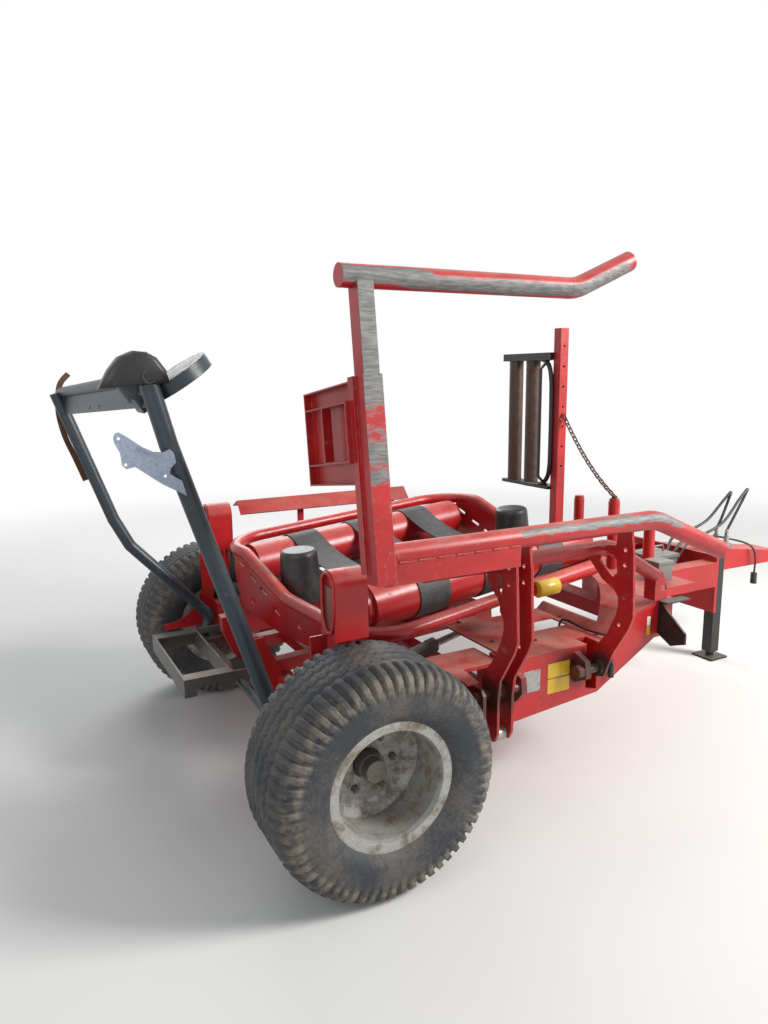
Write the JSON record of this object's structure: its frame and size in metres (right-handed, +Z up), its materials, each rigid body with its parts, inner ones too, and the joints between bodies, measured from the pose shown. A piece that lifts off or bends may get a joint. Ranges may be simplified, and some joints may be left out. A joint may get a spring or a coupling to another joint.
{
  "type": "trailed round bale wrapper",
  "caption": "Trailed bale wrapper: turning roller table that tilts, loading fork on its side, film stretcher mast, folding end tipper, two wheels and a drawbar.",
  "frame": {"origin": "on the floor under the middle of the machine's outline", "axes": "+X forward to the drawbar eye, +Y to the machine's left, +Z up"},
  "size_m": [4.4664, 2.43, 2.2882],
  "materials": {
    "red_paint": "satin",
    "dark_metal": "satin",
    "bare_steel": "dull",
    "galvanised": "dull",
    "rusty_iron": "matte",
    "grey_paint": "dull",
    "rim_silver": "dull",
    "tyre_rubber": "dull",
    "belt_rubber": "dull",
    "black_plastic": "matte",
    "lens": "dull",
    "cable_black": "dull",
    "sticker_yellow": "dull",
    "sticker_white": "dull"
  },
  "bodies": {
    "chassis": {"side_beams": "red_paint", "axle": "red_paint", "deck": "red_paint", "front_frame": "red_paint", "drawbar": "red_paint", "towing_eye": "bare_steel", "jack_leg": "dark_metal", "tipper_base": "grey_paint", "lamp_boxes": "red_paint", "lamp_lenses": "lens", "mast": "red_paint", "film_posts": "red_paint", "valve_box": "grey_paint", "step_bracket": "dark_metal", "side_cover": "red_paint", "stretcher_frame": "dark_metal", "stretcher_rollers": "rusty_iron", "mast_chain": "rusty_iron", "hose_couplings": "bare_steel", "hose_a": "cable_black", "hose_b": "cable_black", "lamp_cable": "cable_black", "lamp_plug": "black_plastic", "deck_cable": "cable_black", "deck_plug": "black_plastic"},
    "wheel_right": {"tyre_right": "tyre_rubber", "rim_right": "rim_silver", "hub_right": "grey_paint"},
    "wheel_left": {"tyre_left": "tyre_rubber", "rim_left": "rim_silver", "hub_left": "grey_paint"},
    "tilt": {"tilt_frame": "red_paint"},
    "table": {"table_frame": "red_paint", "table_rollers": "red_paint", "table_belts": "belt_rubber", "table_cones": "black_plastic"},
    "tilt_ram": {"tilt_barrel": "grey_paint"},
    "tilt_ram_rod": {"tilt_rod": "bare_steel"},
    "fork": {"fork_frame": "red_paint"},
    "fork_top": {"fork_post": "red_paint"},
    "fork_ram": {"fork_barrel": "grey_paint"},
    "fork_ram_rod": {"fork_rod": "bare_steel"},
    "tipper": {"tipper_frame": "dark_metal", "tipper_disc": "dark_metal", "tipper_plate": "galvanised"}
  },
  "joints": [
    {"name": "wheel_right_spin", "type": "hinge", "parent": "chassis", "child": "wheel_right", "pos_m": [-1.415, -1.015, 0.43], "axis": [0, 1, 0], "continuous": true},
    {"name": "wheel_left_spin", "type": "hinge", "parent": "chassis", "child": "wheel_left", "pos_m": [-1.415, 1.015, 0.43], "axis": [0, 1, 0], "continuous": true},
    {"name": "table_tilt", "type": "hinge", "parent": "chassis", "child": "tilt", "pos_m": [-1.565, 0.05, 0.64], "axis": [0, -1, 0], "range_deg": [0, 28]},
    {"name": "table_turn", "type": "hinge", "parent": "tilt", "child": "table", "pos_m": [-0.605, 0.05, 0.9], "axis": [-0.0576, 0, 0.9983], "continuous": true},
    {"name": "tilt_ram_swing", "type": "hinge", "parent": "chassis", "child": "tilt_ram", "pos_m": [-0.97, -0.27, 0.449], "axis": [0, -1, 0], "range_deg": [0, 44.87]},
    {"name": "tilt_ram_stroke", "type": "slide", "parent": "tilt_ram", "child": "tilt_ram_rod", "axis": [0.9729, 0, 0.2314], "range_m": [0, 0.24607]},
    {"name": "fork_lift", "type": "hinge", "parent": "chassis", "child": "fork", "pos_m": [-0.78, -0.9, 0.53], "axis": [1, 0, 0], "range_deg": [0, 100]},
    {"name": "fork_width", "type": "slide", "parent": "fork", "child": "fork_top", "axis": [0, 0.1288, 0.9917], "range_m": [-0.27, 0.1]},
    {"name": "fork_ram_swing", "type": "hinge", "parent": "chassis", "child": "fork_ram", "pos_m": [-0.78, -0.2, 0.385], "axis": [1, 0, 0], "range_deg": [-18.3, 0]},
    {"name": "fork_ram_stroke", "type": "slide", "parent": "fork_ram", "child": "fork_ram_rod", "axis": [0, -0.9994, -0.0347], "range_m": [-0.16914, 0]},
    {"name": "tipper_fold", "type": "hinge", "parent": "chassis", "child": "tipper", "pos_m": [-1.565, 0, 0.4], "axis": [0, -1, 0], "range_deg": [0, 75]}
  ],
  "couplings": [
    {"joint": "tilt_ram_swing", "follows": "table_tilt", "ratio": 1.6024},
    {"joint": "tilt_ram_stroke", "follows": "table_tilt", "m_per_rad": 0.50348},
    {"joint": "fork_ram_swing", "follows": "fork_lift", "ratio": -0.18297},
    {"joint": "fork_ram_stroke", "follows": "fork_lift", "m_per_rad": -0.096899}
  ]
}
